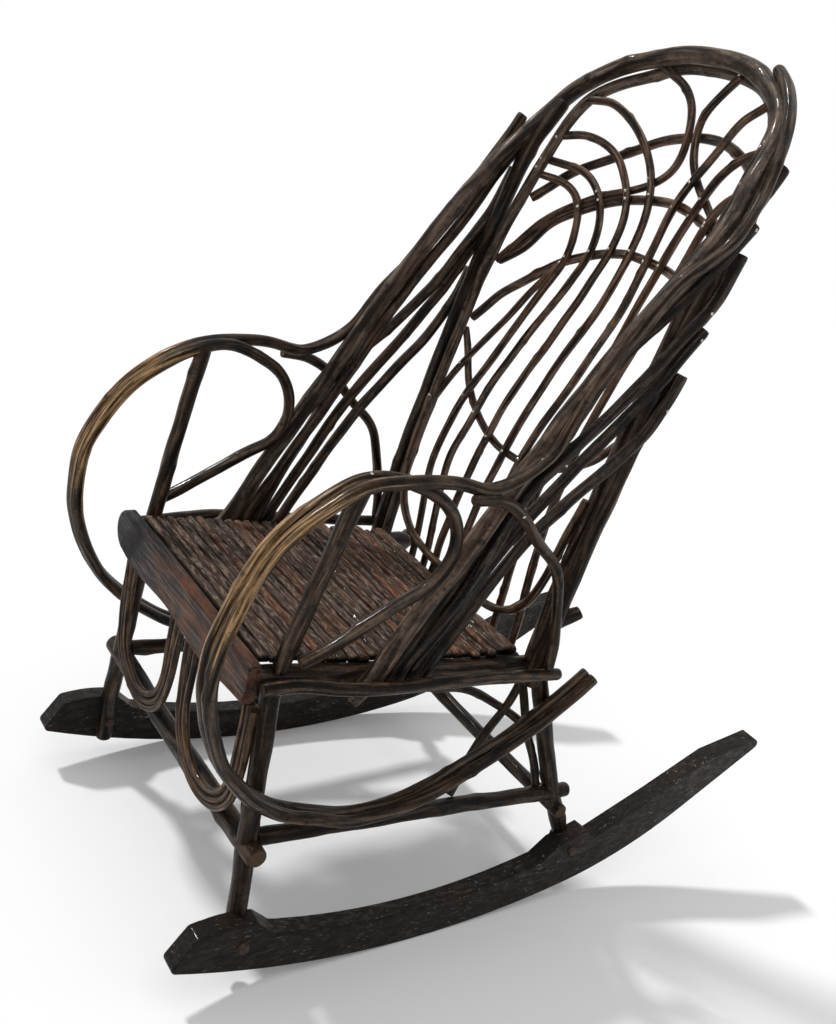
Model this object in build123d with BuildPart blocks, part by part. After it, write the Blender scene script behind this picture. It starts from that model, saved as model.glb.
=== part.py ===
from build123d import *
from math import cos, pi, radians, sin, sqrt, tan
import os

# Hickory rocking chair: bent sticks, a slatted seat and two sawn rockers.
# X runs to the sitter's left, Y to the back, Z up; the floor is Z = 0 and the
# rockers touch it at Y = 0. Millimetres.

SIDES = (("left", 1), ("right", -1))

# Stick radii
leg_radius = 12
stretcher_radius = 11
front_stretcher_radius = 13.5
rail_radius = 13
clamp_radius = 8
arm_radius = 7.9
arm_post_radius = 10
brace_radius = 7
post_radius = 10.5
hoop_radius = 11.5
inner_hoop_radius = 8
fan_radius = 7.5
front_fan_radius = 8
arch_radius = 6.5
hanging_arch_radius = 5.5
back_rod_radius = 5.5
loop_rod_radius = 4.6
bottom_loop_radius = 6
branch_radius = 5
stub_radius = 9
under_brace_radius = 6
nailed_gap = 0.3
notch = 0.6

# Rockers
rocker_inner_x = 221
rocker_thickness = 28
rocker_radius = 1300
rocker_rear_radius = 600
rocker_rear_rise = 32
rocker_rear_start_y = 190
rocker_front_y = -455
rocker_rear_straight = 155
rocker_end_rounding = 8

# Seat: side rails slope down to the back, slats lie on their planed tops
rail_x = 178
rail_front_y = -383.3
rail_rear_y = 78
rail_front_z = 434
rail_slope = 0.114
seat_tilt = 6.5
rail_flat = 12
slat_count = 25
slat_pitch = 14.9
slab_width = 28.8
slab_height = 11.5
slat_height = 9.5
slat_edge = 4.5

# Legs
front_leg_y = -361
lap_x = 219
front_stretcher_z = 212
rear_rail_y = 22

# Back
bow_half_width = 205

bend_share = 0.45
seam_side = Vector(0.3, 0.8, -0.5)

# The chair is drawn with upright front legs, then tipped forward about the
# centre of its rocker arc until its centre of mass stands over the floor line.
balance_tip = 2.97


def inset(before, at, after):
    """How far, and which way, the bend at a corner cuts inside that corner."""
    into = (at - before).normalized()
    out = (after - at).normalized()
    half_turn = max(radians(into.get_angle(out)) / 2, 1e-4)
    run = bend_share * min((at - before).length, (after - at).length)
    bend = run / tan(half_turn)
    return (out - into).normalized() * (bend / cos(half_turn) - bend)


def stick(points, radius):
    """Adds a bent round stick to the open part. Its centre line passes through
    the points: straight runs joined by tangent arcs."""
    targets = [Vector(*point) for point in points]
    corners = list(targets)
    for _ in range(4):
        bends = [
            target - inset(before, at, after)
            for target, before, at, after in zip(targets[1:], corners, corners[1:], corners[2:])
        ]
        corners = [targets[0], *bends, targets[-1]]
    with BuildLine() as centre_line:
        start = corners[0]
        for before, at, after in zip(corners, corners[1:], corners[2:]):
            run = bend_share * min((at - before).length, (after - at).length)
            bend_start = at - (at - before).normalized() * run
            bend_end = at + (after - at).normalized() * run
            Line(start, bend_start)
            ThreePointArc(bend_start, at + inset(before, at, after), bend_end)
            start = bend_end
        Line(start, corners[-1])
    run = corners[1] - corners[0]
    with BuildSketch(Plane(origin=corners[0], x_dir=run.cross(seam_side), z_dir=run)) as section:
        Circle(radius)
    sweep(section.sketch, path=centre_line.line)


def save(name, part):
    """Tips a finished piece to the chair's balance, labels it and writes it."""
    tipped = part.rotate(Axis((0, 0, rocker_radius), (1, 0, 0)), balance_tip)
    tipped.label = name
    export_step(tipped, f"parts/{name}.step")


def mirrored(sign, points):
    """The points on the left side of the chair, or their mirror images."""
    return [(sign * x, y, z) for x, y, z in points]


def rail_z(y):
    """Height of the seat rails' centre line."""
    return rail_front_z - rail_slope * (y - rail_front_y)


def post_y(z):
    """Depth of the back posts, which lean back and curve as they rise."""
    bends = [
        (370, 33), (382, 34), (550, 48), (688, 68), (812, 88), (910, 108), (998, 129), (1075, 158), (1200, 214),
    ]
    for (low_z, low_y), (high_z, high_y) in zip(bends, bends[1:]):
        if z <= high_z:
            return low_y + (high_y - low_y) * (z - low_z) / (high_z - low_z)
    return high_y


def bow(z):
    """How far the middle of the back bellies out behind the posts."""
    bends = [(600, 0), (702, 15), (774, 35), (859, 60), (940, 66), (1000, 64), (1080, 50), (1200, 27)]
    if z <= 600:
        return 0
    for (low_z, low), (high_z, high) in zip(bends, bends[1:]):
        if z <= high_z:
            return low + (high - low) * (z - low_z) / (high_z - low_z)
    return high


def on_back(points, layer=0):
    """Points (x, z) laid on the curved back; a layer is a distance behind it,
    and a third number in a point adds to it."""
    laid = []
    for x, z, *extra in points:
        depth = post_y(z) + bow(z) * (1 - (x / bow_half_width) ** 2) + layer + sum(extra)
        laid.append((x, depth, z))
    return laid


# --- Rockers and bolts -------------------------------------------------------
bolt_radius = 4
bolt_head_radius = 8.5
bolt_head_height = 4
bolt_nut_radius = 7
bolt_seat = 1.5
bolt_places = ((front_leg_y, 90), (187, 79))

with BuildPart() as rocker_bolts:
    for sign in (1, -1):
        for y, z in bolt_places:
            nut_x = lap_x - leg_radius + bolt_seat
            outer_x = rocker_inner_x + rocker_thickness
            with BuildSketch(Plane(origin=(sign * (nut_x - 1), y, z), z_dir=(sign, 0, 0))):
                Circle(bolt_radius)
            extrude(amount=outer_x - nut_x + 2)
            with BuildSketch(Plane(origin=(sign * outer_x, y, z), z_dir=(sign, 0, 0))):
                Circle(bolt_head_radius)
            extrude(amount=bolt_head_height, taper=20)
            with BuildSketch(Plane(origin=(sign * nut_x, y, z), z_dir=(-sign, 0, 0))):
                RegularPolygon(bolt_nut_radius, 6)
            extrude(amount=5)
save("rocker_bolts", rocker_bolts.part)

rockers = {}
for side, sign in SIDES:
    with BuildPart() as rocker:
        with BuildSketch(Plane.YZ.offset(sign * rocker_inner_x)) as outline:
            with BuildLine():
                rear_z = rocker_radius - sqrt(rocker_radius**2 - rocker_rear_start_y**2)
                front_z = rocker_radius - sqrt(rocker_radius**2 - rocker_front_y**2)
                sole = ThreePointArc((rocker_front_y, front_z), (0, 0), (rocker_rear_start_y, rear_z))
                rise = rocker_rear_rise - Vector(1, 0).get_angle(sole % 1)
                sweep_up = JernArc(start=sole @ 1, tangent=sole % 1, radius=rocker_rear_radius, arc_size=rise)
                runner = PolarLine(sweep_up @ 1, rocker_rear_straight, rocker_rear_rise)
                Polyline(
                    runner @ 1,
                    (568, 196),
                    (556, 208),
                    (450, 191),
                    (335, 137),
                    (229, 92),
                    (205, 110),
                    (151, 95),
                    (128, 74),
                )
                ThreePointArc((128, 74), (-95, 58), (-318, 97))
                Line((-318, 97), (-345, 122))
                ThreePointArc((-345, 122), (-388, 128), (-426, 125))
                Line((-426, 125), (rocker_front_y, front_z))
            make_face()
            ends = outline.vertices().sort_by(Axis.X)
            fillet([*ends[:2], *ends[-2:]], radius=rocker_end_rounding)
        extrude(amount=sign * rocker_thickness)
        fillet(rocker.edges().filter_by(GeomType.CIRCLE).filter_by(lambda e: e.length > 400), radius=3)
        add(rocker_bolts.part, mode=Mode.SUBTRACT)
    save(f"rocker_{side}", rocker.part)
    rockers[side] = rocker.part

# --- Seat rails --------------------------------------------------------------
# The legs stand under the side rails, which take the slats on planed tops.
seat_frame = Plane(
    origin=(0, rail_front_y, rail_front_z + rail_flat),
    x_dir=(0, cos(radians(seat_tilt)), -sin(radians(seat_tilt))),
    z_dir=(1, 0, 0),
)
seat_top = Plane(
    origin=(0, rail_front_y, rail_front_z + rail_flat),
    x_dir=(1, 0, 0),
    z_dir=(0, sin(radians(seat_tilt)), cos(radians(seat_tilt))),
)

rail_end_y = rail_front_y + rail_radius * sin(radians(seat_tilt))
rails = {}
for side, sign in SIDES:
    with BuildPart() as seat_rail:
        ends = [(rail_x, rail_end_y, rail_z(rail_end_y)), (rail_x, rail_rear_y, rail_z(rail_rear_y))]
        stick(mirrored(sign, ends), rail_radius)
        split(bisect_by=seat_top, keep=Keep.BOTTOM)
    save(f"seat_rail_{side}", seat_rail.part)
    rails[side] = seat_rail.part

# --- Legs --------------------------------------------------------------------
# Each leg is halved over the inner face of its rocker and bolted to it.
legs = {}
rear_legs = {}
for side, sign in SIDES:
    with BuildPart() as front_leg:
        stick(
            mirrored(
                sign,
                [
                    (lap_x, front_leg_y, 56),
                    (lap_x, front_leg_y, 118),
                    (206, front_leg_y, 222),
                    (198, front_leg_y, 290),
                    (185, front_leg_y, 424),
                ],
            ),
            leg_radius,
        )
        add(rockers[side], mode=Mode.SUBTRACT)
        add(rails[side], mode=Mode.SUBTRACT)
        add(rocker_bolts.part, mode=Mode.SUBTRACT)
        with Locations((sign * 206, front_leg_y, front_stretcher_z)):
            Cylinder(7, 40, rotation=(0, 90, 0), mode=Mode.SUBTRACT)
    save(f"front_leg_{side}", front_leg.part)
    legs[side] = front_leg.part
    with BuildPart() as rear_leg:
        stick(
            mirrored(
                sign,
                [
                    (lap_x, 199, 60),
                    (lap_x, 181, 95),
                    (212, 143, 168),
                    (204, 115, 233),
                    (195, 90, 297),
                    (184, 62, 374),
                ],
            ),
            leg_radius,
        )
        add(rockers[side], mode=Mode.SUBTRACT)
        add(rails[side], mode=Mode.SUBTRACT)
        add(rocker_bolts.part, mode=Mode.SUBTRACT)
        with Locations(Plane(origin=(sign * 212, 141, 172.5), z_dir=(-sign * 6, -512, 49))):
            Cylinder(6.5, 60, mode=Mode.SUBTRACT)
        with Locations((sign * 213, 152, 147)):
            Cylinder(6, 60, rotation=(0, 90, 0), mode=Mode.SUBTRACT)
    save(f"rear_leg_{side}", rear_leg.part)
    rear_legs[side] = rear_leg.part

# --- Stretchers --------------------------------------------------------------
with BuildPart() as front_stretcher:
    stick(
        [
            (-184, front_leg_y + 1, front_stretcher_z),
            (0, front_leg_y + 1, 208),
            (184, front_leg_y + 1, front_stretcher_z),
        ],
        front_stretcher_radius,
    )
    stick([(-233, front_leg_y, front_stretcher_z), (233, front_leg_y, front_stretcher_z)], stretcher_radius)
    add(legs["left"], mode=Mode.SUBTRACT)
    add(legs["right"], mode=Mode.SUBTRACT)
save("front_stretcher", front_stretcher.part)

with BuildPart() as rear_stretcher:
    stick([(-232, 152, 147), (0, 155, 140), (232, 152, 147)], stretcher_radius)
    add(rear_legs["left"], mode=Mode.SUBTRACT)
    add(rear_legs["right"], mode=Mode.SUBTRACT)
save("rear_stretcher", rear_stretcher.part)

side_stretchers = {}
for side, sign in SIDES:
    with BuildPart() as side_stretcher:
        stick(
            mirrored(sign, [(206, -350.5, 220), (209, -100, 198), (212, 141, 172.5), (212.3, 168, 170)]),
            stretcher_radius,
        )
        add(legs[side], mode=Mode.SUBTRACT)
        add(rear_legs[side], mode=Mode.SUBTRACT)
        add(front_stretcher.part, mode=Mode.SUBTRACT)
    save(f"side_stretcher_{side}", side_stretcher.part)
    side_stretchers[side] = side_stretcher.part

# --- Cross rails and the bent braces under the seat ---------------------------
with BuildPart() as seat_front_rail:
    stick([(-180, front_leg_y, 401), (180, front_leg_y, 401)], leg_radius)
    for side, sign in SIDES:
        add(legs[side], mode=Mode.SUBTRACT)
save("seat_front_rail", seat_front_rail.part)

with BuildPart() as seat_rear_rail:
    height = rail_z(rear_rail_y)
    stick([(-170, rear_rail_y, height), (170, rear_rail_y, height)], leg_radius + 0.4)
    split(bisect_by=seat_top, keep=Keep.BOTTOM)
    for side, sign in SIDES:
        add(rails[side], mode=Mode.SUBTRACT)
save("seat_rear_rail", seat_rear_rail.part)

for side, sign in SIDES:
    with BuildPart() as under_brace:
        stick(
            mirrored(sign, [
                (170, -205, 404), (163, -108, 363), (159, -56, 352), (159, -15, 335), (168, 43, 302), (186, 86, 272),
            ]),
            under_brace_radius,
        )
        add(rails[side], mode=Mode.SUBTRACT)
        add(rear_legs[side], mode=Mode.SUBTRACT)
    save(f"under_brace_{side}", under_brace.part)
    with BuildPart() as cross_brace:
        stick(
            mirrored(sign, [(172, 50, 380), (170, 42, 325), (172, 9, 272), (184, -20, 240), (199, -50, 203)]),
            under_brace_radius,
        )
        add(rails[side], mode=Mode.SUBTRACT)
        add(rear_legs[side], mode=Mode.SUBTRACT)
        add(side_stretchers[side], mode=Mode.SUBTRACT)
        add(under_brace.part, mode=Mode.SUBTRACT)
    save(f"cross_brace_{side}", cross_brace.part)
    with BuildPart() as leg_strut:
        stick(mirrored(sign, [(203, 112, 184), (200, 98, 222), (193, 73, 270), (181, 29, 383)]), under_brace_radius)
        add(rails[side], mode=Mode.SUBTRACT)
        add(side_stretchers[side], mode=Mode.SUBTRACT)
    save(f"leg_strut_{side}", leg_strut.part)

# --- Front apron: three nested loops on each side ------------------------------
loop_y = front_leg_y - leg_radius - loop_rod_radius + notch
loop_centre_x = 102
loop_half_width = 85
loop_centre_z = 295
loop_step = 2 * loop_rod_radius + nailed_gap
loop_tops = ((9, 398, 392), (23, 402, 396), (38, 396, 390))

loops = {}
for side, sign in SIDES:
    with BuildPart() as apron_loops:
        for ring, (inner_x, inner_z, outer_z) in enumerate(loop_tops):
            half_width = loop_half_width - ring * loop_step
            bend = []
            for turn in range(0, 181, 30):
                across = loop_centre_x - half_width * cos(radians(turn))
                up = loop_centre_z - half_width * sin(radians(turn))
                bend.append((across, loop_y, up))
            stick(
                mirrored(sign, [(inner_x, loop_y, inner_z), *bend, (loop_centre_x + half_width, loop_y, outer_z)]),
                loop_rod_radius,
            )
        add(legs[side], mode=Mode.SUBTRACT)
        add(seat_front_rail.part, mode=Mode.SUBTRACT)
        add(front_stretcher.part, mode=Mode.SUBTRACT)
    save(f"apron_loops_{side}", apron_loops.part)
    loops[side] = apron_loops.part

# --- Front board: a slab hung in front of the rail ends -------------------------
board_thickness = 14
board_back_y = rail_front_y - nailed_gap
with BuildPart() as front_board:
    with BuildSketch(Plane.XZ.offset(-board_back_y)):
        with BuildLine():
            Polyline((-180, 457), (-60, 458), (70, 457), (191, 457), (194, 430), (188, 405))
            Spline((188, 405), (140, 400), (60, 393), (-20, 401), (-100, 396), (-176, 400))
            ThreePointArc((-176, 400), (-203, 426), (-180, 457))
        make_face()
    extrude(amount=board_thickness)
    fillet(front_board.faces().sort_by(Axis.Y)[0].edges(), radius=4)
    add(loops["left"], mode=Mode.SUBTRACT)
    add(loops["right"], mode=Mode.SUBTRACT)
save("front_board", front_board.part)

# --- Outer hoop: up from under the rails, round the back and down again -----------
# Both sides rise alike; at the shoulders the left one leans in further.
hoop_x = rail_x + rail_radius + hoop_radius - notch
hoop_side = [
    (hoop_x, -262, 398),
    (hoop_x, -235, 425),
    (202, -196, 503),
    (204, -152, 583),
    (204, -117, 648),
    (204, -60, 754),
    (205, -36, 795),
    (206, 0, 855),
    (208, 50, 929),
]
hoop_crown = [
    (208, 87, 980),
    (203, 112, 1014),
    (193, 128, 1040),
    (179, 161, 1087),
    (154, 187, 1121),
    (112, 208, 1149),
    (60, 222, 1168),
    (0, 226, 1172),
    (-60, 225, 1166),
    (-100, 216, 1153),
    (-140, 205, 1136),
    (-175, 191, 1111),
    (-198, 178, 1086),
    (-209, 155, 1053),
    (-211, 122, 1016),
    (-210, 88, 980),
]
with BuildPart() as outer_hoop:
    stick([*hoop_side, *hoop_crown, *reversed(mirrored(-1, hoop_side))], hoop_radius)
    for side, sign in SIDES:
        add(rails[side], mode=Mode.SUBTRACT)
save("outer_hoop", outer_hoop.part)

# --- Back posts ----------------------------------------------------------------
post_x = rail_x + rail_radius + post_radius - notch
posts = {}
for side, sign in SIDES:
    with BuildPart() as back_post:
        stick(
            mirrored(sign, [
                (post_x, 33, 370),
                (post_x, post_y(550), 550),
                (post_x, post_y(688), 688),
                (post_x, post_y(812), 812),
                (post_x, post_y(910), 910),
                (post_x - 1, 129, 998),
                (post_x - 3, 166, 1070),
            ]),
            post_radius,
        )
        add(rails[side], mode=Mode.SUBTRACT)
        add(outer_hoop.part, mode=Mode.SUBTRACT)
    save(f"back_post_{side}", back_post.part)
    posts[side] = back_post.part

# --- Inner hoop: rises from the rails beside the posts, lies against the outer one
inner_x = post_x - post_radius - inner_hoop_radius - nailed_gap
inner_hoop_foot = [(inner_x, 36.6, 398.7), (inner_x, post_y(550), 550), (inner_x, post_y(688), 688)]
inner_hoop_crown = [
    (inner_x, post_y(812), 812),
    (180, 107, 910),
    (174, 126, 980),
    (170, 142, 1020),
    (163, 160, 1055),
    (156, 178, 1087),
    (139, 203, 1111),
    (113, 220, 1131),
    (80, 233, 1148),
    (40, 239, 1156),
    (-4, 241, 1157),
    (-60, 241, 1152),
    (-105, 226, 1132),
    (-140, 204, 1110),
    (-165, 182, 1083),
    (-172, 165, 1053),
    (-174, 150, 1020),
    (-174, 134, 980),
    (-179, 112, 910),
    (-inner_x, post_y(812), 812),
]
with BuildPart() as inner_hoop:
    stick([*inner_hoop_foot, *inner_hoop_crown, *reversed(mirrored(-1, inner_hoop_foot))], inner_hoop_radius)
    add(outer_hoop.part, mode=Mode.SUBTRACT)
    for side, sign in SIDES:
        add(rails[side], mode=Mode.SUBTRACT)
        add(posts[side], mode=Mode.SUBTRACT)
save("inner_hoop", inner_hoop.part)

# --- Side fans: four rods a side, from under the rail up to the back post --------
fans = {}
foot_x = rail_x + rail_radius + fan_radius - notch
front_foot_x = rail_x + rail_radius + front_fan_radius - notch
beside_x = post_x + post_radius + fan_radius - notch
for side, sign in SIDES:
    with BuildPart() as fan_rod_front:
        stick(mirrored(sign, [
            (front_foot_x, -216, 402), (front_foot_x, -208, 432), (197.5, -118, 600), (196, -29, 777),
            (200, 20, 850), (208, 59, 899), (217, 95, 956), (beside_x + 0.5, 128, 1003),
        ]), front_fan_radius)
        add(rails[side], mode=Mode.SUBTRACT)
        add(outer_hoop.part, mode=Mode.SUBTRACT)
        add(posts[side], mode=Mode.SUBTRACT)
    save(f"fan_rod_front_{side}", fan_rod_front.part)
    with BuildPart() as fan_rods:
        stick(mirrored(sign, [
            (foot_x, -200, 400), (foot_x, -190, 434), (206.5, -158, 500), (209, -131, 556), (209, -84, 666),
            (208, -38, 714), (208, -2, 752), (210, 38, 801), (214, 74, 856), (beside_x, 108, 908),
            (beside_x, post_y(955) + 4, 955), (beside_x, post_y(968) + 4, 968),
        ]), fan_radius)
        stick(mirrored(sign, [
            (foot_x, -181, 404), (foot_x, -171, 434), (202, -79, 609), (206, -8, 706), (212, 45, 776),
            (216, 70, 816), (beside_x, 92, 855), (beside_x, post_y(875) + 5, 875),
        ]), fan_radius)
        stick(mirrored(sign, [
            (foot_x, -163, 398), (foot_x, -150, 428), (201, -64, 585), (208, 3, 666), (214, 42, 708),
            (beside_x, 66, 742), (beside_x, post_y(790) + 4, 790), (beside_x, post_y(818) + 5, 818),
        ]), fan_radius)
        add(rails[side], mode=Mode.SUBTRACT)
        add(outer_hoop.part, mode=Mode.SUBTRACT)
        add(posts[side], mode=Mode.SUBTRACT)
        add(fan_rod_front.part, mode=Mode.SUBTRACT)
    save(f"fan_rods_{side}", fan_rods.part)
    fans[side] = [fan_rod_front.part, fan_rods.part]

# --- Clamp rods: nailed over the feet of the fans ------------------------------
clamps = {}
for side, sign in SIDES:
    with BuildPart() as clamp_rod:
        stick(mirrored(sign, [
            (198.6, -381, 430), (200.6, -345, 430), (219.5, -262, 424), (219.5, -150, 415), (219.4, -60, 407),
            (219.4, 58, 396),
        ]), clamp_radius)
        add(rails[side], mode=Mode.SUBTRACT)
        add(legs[side], mode=Mode.SUBTRACT)
        add(outer_hoop.part, mode=Mode.SUBTRACT)
        add(posts[side], mode=Mode.SUBTRACT)
        for fan in fans[side]:
            add(fan, mode=Mode.SUBTRACT)
    save(f"clamp_rod_{side}", clamp_rod.part)
    clamps[side] = clamp_rod.part

# --- Arms: two rods side by side from under the seat, round the front and up -----
arm_foot = {"left": (216, 128, 380), "right": (216, 117, 371)}
arm_sweep = [
    (216, 75, 336), (218, 1, 292), (220, -74, 259), (222, -148, 236), (223, -238, 235), (224, -296, 255),
]
arm_front = {
    "left": [
        (224, -340, 272), (224, -385, 305), (222, -425, 352), (220, -447, 400), (219, -462, 460),
        (218, -458, 512), (217, -441, 568), (216, -417, 618), (214, -389, 645), (212, -325, 683),
    ],
    "right": [
        (224, -330, 276), (223, -362, 300), (222, -398, 334), (221, -422, 370), (220, -440, 407),
        (219, -452, 450), (219, -455, 492), (218, -450, 540), (217, -431, 581), (216, -403, 622),
        (214, -368, 652), (212, -325, 676),
    ],
}
arm_offset = arm_radius + nailed_gap / 2
arm_rise = [
    (220.3, -264, 687), (220.5, -207, 685), (221, -161, 675), (221.5, -134, 682), (221.5, -107, 696),
    (221.5, -80, 719),
]
arm_tail = {
    "left": [
        (221, -58, 765), (220.5, -37, 812), (219, -2, 876), (219, 32, 925), (225, 64, 955), (227, 93, 985),
        (221, 114, 1018), (211, 134, 1043), (202, 149, 1077), (187, 166, 1110), (164, 185, 1137),
        (136, 201, 1158), (107, 213, 1172),
    ],
    "right": [
        (222, -54, 765), (223, -19, 808), (223, 9, 854), (224, 39, 900), (227, 82, 961), (227, 104, 1001),
        (225, 122, 1040),
    ],
}
scroll = [
    (203.8, -281, 685), (203.8, -230, 669), (204, -198, 650), (204.2, -176, 620), (204.2, -170, 585),
    (204.2, -186, 549), (204.2, -228, 526), (204, -275, 497), (204, -320, 471), (203.6, -343, 461),
]
arm_posts = {}
for side, sign in SIDES:
    with BuildPart() as arm_outer_rod:
        bundle = [(x + arm_offset, y, z) for x, y, z in [arm_foot[side], *arm_sweep, *arm_front[side]]]
        stick(mirrored(sign, [*bundle, *arm_rise, *arm_tail[side]]), arm_radius)
        add(outer_hoop.part, mode=Mode.SUBTRACT)
        add(posts[side], mode=Mode.SUBTRACT)
        for fan in fans[side]:
            add(fan, mode=Mode.SUBTRACT)
    save(f"arm_outer_rod_{side}", arm_outer_rod.part)
    with BuildPart() as arm_scroll_rod:
        bundle = [(x - arm_offset, y, z) for x, y, z in [arm_foot[side], *arm_sweep, *arm_front[side]]]
        stick(mirrored(sign, [*bundle, *scroll]), arm_radius)
        add(legs[side], mode=Mode.SUBTRACT)
        add(rear_legs[side], mode=Mode.SUBTRACT)
        add(outer_hoop.part, mode=Mode.SUBTRACT)
    save(f"arm_scroll_rod_{side}", arm_scroll_rod.part)
    with BuildPart() as arm_post:
        stick(
            mirrored(sign, [(185, -355, 441), (186.6, -352, 463), (194, -337, 560), (203, -315, 679)]),
            arm_post_radius,
        )
        add(rails[side], mode=Mode.SUBTRACT)
        add(arm_scroll_rod.part, mode=Mode.SUBTRACT)
    save(f"arm_post_{side}", arm_post.part)
    arm_posts[side] = arm_post.part
    with BuildPart() as arm_brace:
        stick(mirrored(sign, [
            (229, -184, 668), (226, -137, 662), (222, -101, 643), (220.5, -55, 600), (219.5, -10, 560),
            (219, 15, 500), (218.8, 33, 440), (218.8, 36, 408),
        ]), brace_radius)
        add(arm_outer_rod.part, mode=Mode.SUBTRACT)
        add(outer_hoop.part, mode=Mode.SUBTRACT)
        add(posts[side], mode=Mode.SUBTRACT)
        add(clamps[side], mode=Mode.SUBTRACT)
        for fan in fans[side]:
            add(fan, mode=Mode.SUBTRACT)
    save(f"arm_brace_{side}", arm_brace.part)

# --- Back arches, behind the upright rods ---------------------------------------
behind = back_rod_radius + arch_radius - notch
tied = inner_hoop_radius + arch_radius - notch - behind
arches = {}
arch_lines = {
    "arch_hanging": ([
        (-190, 735, tied), (-171, 712, tied / 2), (-140, 670), (-114, 648), (-74, 627), (-30, 615), (30, 615),
        (74, 627), (114, 648), (140, 670), (171, 712, tied / 2), (190, 735, tied),
    ], hanging_arch_radius),
    "arch_lower": ([
        (-187, 752, tied), (-172, 775, tied / 2), (-159, 798), (-130, 833), (-102, 865), (-51, 895), (-5, 908),
        (81, 909), (122, 899), (152, 872), (172, 845, tied / 2), (190, 815, tied),
    ], arch_radius),
    "arch_middle": ([
        (-186, 840, tied), (-160, 871, tied / 2), (-143, 908), (-108, 942), (-64, 967), (-19, 981), (24, 987),
        (68, 984), (112, 975), (157, 958, tied / 2), (188, 940, tied),
    ], arch_radius),
}
for name, (line, radius) in arch_lines.items():
    with BuildPart() as arch:
        stick(on_back(line, layer=behind), radius)
        add(inner_hoop.part, mode=Mode.SUBTRACT)
        for side, sign in SIDES:
            add(posts[side], mode=Mode.SUBTRACT)
    save(name, arch.part)
    arches[name] = arch.part

# --- Curled rods between the uprights and the upper arch -------------------------
curl_layer = 2 * back_rod_radius - notch
with BuildPart() as curl_far:
    stick(on_back([
        (-88, 1146, -9), (-46, 1131, -2), (-20, 1108), (-4, 1078), (3, 1047), (-2, 1023), (-24, 1001),
        (-56, 983), (-87, 968), (-118, 946), (-150, 913), (-172, 870), (-186, 840, -2),
    ], layer=curl_layer), back_rod_radius)
    add(inner_hoop.part, mode=Mode.SUBTRACT)
    add(outer_hoop.part, mode=Mode.SUBTRACT)
    add(arches["arch_middle"], mode=Mode.SUBTRACT)
save("curl_rod_far", curl_far.part)

with BuildPart() as curl_near:
    stick(on_back([
        (42, 1157, -9), (17, 1128), (6, 1102), (11, 1075), (26, 1045), (55, 1018), (88, 1000), (125, 982),
        (162, 966), (180, 956),
    ], layer=curl_layer), back_rod_radius)
    add(inner_hoop.part, mode=Mode.SUBTRACT)
    add(outer_hoop.part, mode=Mode.SUBTRACT)
    add(curl_far.part, mode=Mode.SUBTRACT)
    add(arches["arch_middle"], mode=Mode.SUBTRACT)
save("curl_rod_near", curl_near.part)

with BuildPart() as arch_upper:
    stick(on_back([
        (-182, 936, -9), (-171, 953, -4), (-151, 984), (-119, 1009), (-85, 1033), (-49, 1056), (9, 1074),
        (56, 1075), (108, 1061), (142, 1043), (166, 1024), (184, 1000),
    ], layer=curl_layer + back_rod_radius + arch_radius - notch), arch_radius)
    add(inner_hoop.part, mode=Mode.SUBTRACT)
    add(curl_far.part, mode=Mode.SUBTRACT)
    add(curl_near.part, mode=Mode.SUBTRACT)
    for side, sign in SIDES:
        add(posts[side], mode=Mode.SUBTRACT)
save("arch_upper", arch_upper.part)

# --- Upright back rods ----------------------------------------------------------
rail_back_y = rear_rail_y + leg_radius + back_rod_radius - notch
foot_z = 380
back_rods = {
    "back_rod_1": [
        (-110, 440), (-130, 530), (-131, 579), (-124, 646), (-105, 731), (-96, 810), (-88, 877), (-101, 934),
        (-114, 956), (-138, 969), (-176, 971),
    ],
    "back_rod_2": [
        (-79, 440), (-94, 520), (-98, 569), (-90, 629), (-86, 684), (-75, 757), (-63, 837), (-57, 893),
        (-68, 937), (-86, 968), (-117, 990), (-174, 993),
    ],
    "back_rod_3": [
        (-55, 440), (-52, 534), (-45, 617), (-42, 690), (-32, 803), (-28, 904), (-32, 948), (-50, 987),
        (-81, 1019), (-113, 1034), (-149, 1036), (-174, 1024),
    ],
    "back_rod_4": [
        (-12, 440), (-8, 541), (-2, 650), (3, 764), (7, 846), (6, 907), (0, 964), (-19, 1007), (-50, 1043),
        (-93, 1073), (-139, 1087), (-170, 1072),
    ],
    "back_rod_5": [
        (20, 440), (32, 640), (45, 740), (45, 851), (41, 909), (39, 975), (50, 1020), (70, 1065), (84, 1104),
        (101, 1122), (123, 1126),
    ],
    "back_rod_6": [
        (98, 440), (86, 600), (79, 765), (72, 835), (71, 911), (79, 980), (93, 1031), (114, 1060),
        (136, 1073), (158, 1078),
    ],
    "back_rod_7": [
        (140, 440), (124, 560), (114, 700), (110, 820), (112, 907), (116, 973), (128, 1005), (146, 1022),
        (166, 1030),
    ],
}
uprights = {}
for name, line in back_rods.items():
    foot_x = line[0][0]
    with BuildPart() as back_rod:
        stick([(foot_x, rail_back_y, foot_z), (foot_x, rail_back_y, 420), *on_back(line)], back_rod_radius)
        add(seat_rear_rail.part, mode=Mode.SUBTRACT)
        add(inner_hoop.part, mode=Mode.SUBTRACT)
        add(arch_upper.part, mode=Mode.SUBTRACT)
        add(curl_far.part, mode=Mode.SUBTRACT)
        add(curl_near.part, mode=Mode.SUBTRACT)
        for arch in arches.values():
            add(arch, mode=Mode.SUBTRACT)
    save(name, back_rod.part)
    uprights[name] = back_rod.part

with BuildPart() as back_branch:
    stick(on_back([(-92, 868), (-108, 820), (-126, 760), (-155, 692), (-180, 625)]), branch_radius)
    add(inner_hoop.part, mode=Mode.SUBTRACT)
    add(uprights["back_rod_1"], mode=Mode.SUBTRACT)
    for arch in arches.values():
        add(arch, mode=Mode.SUBTRACT)
save("back_branch", back_branch.part)

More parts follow.
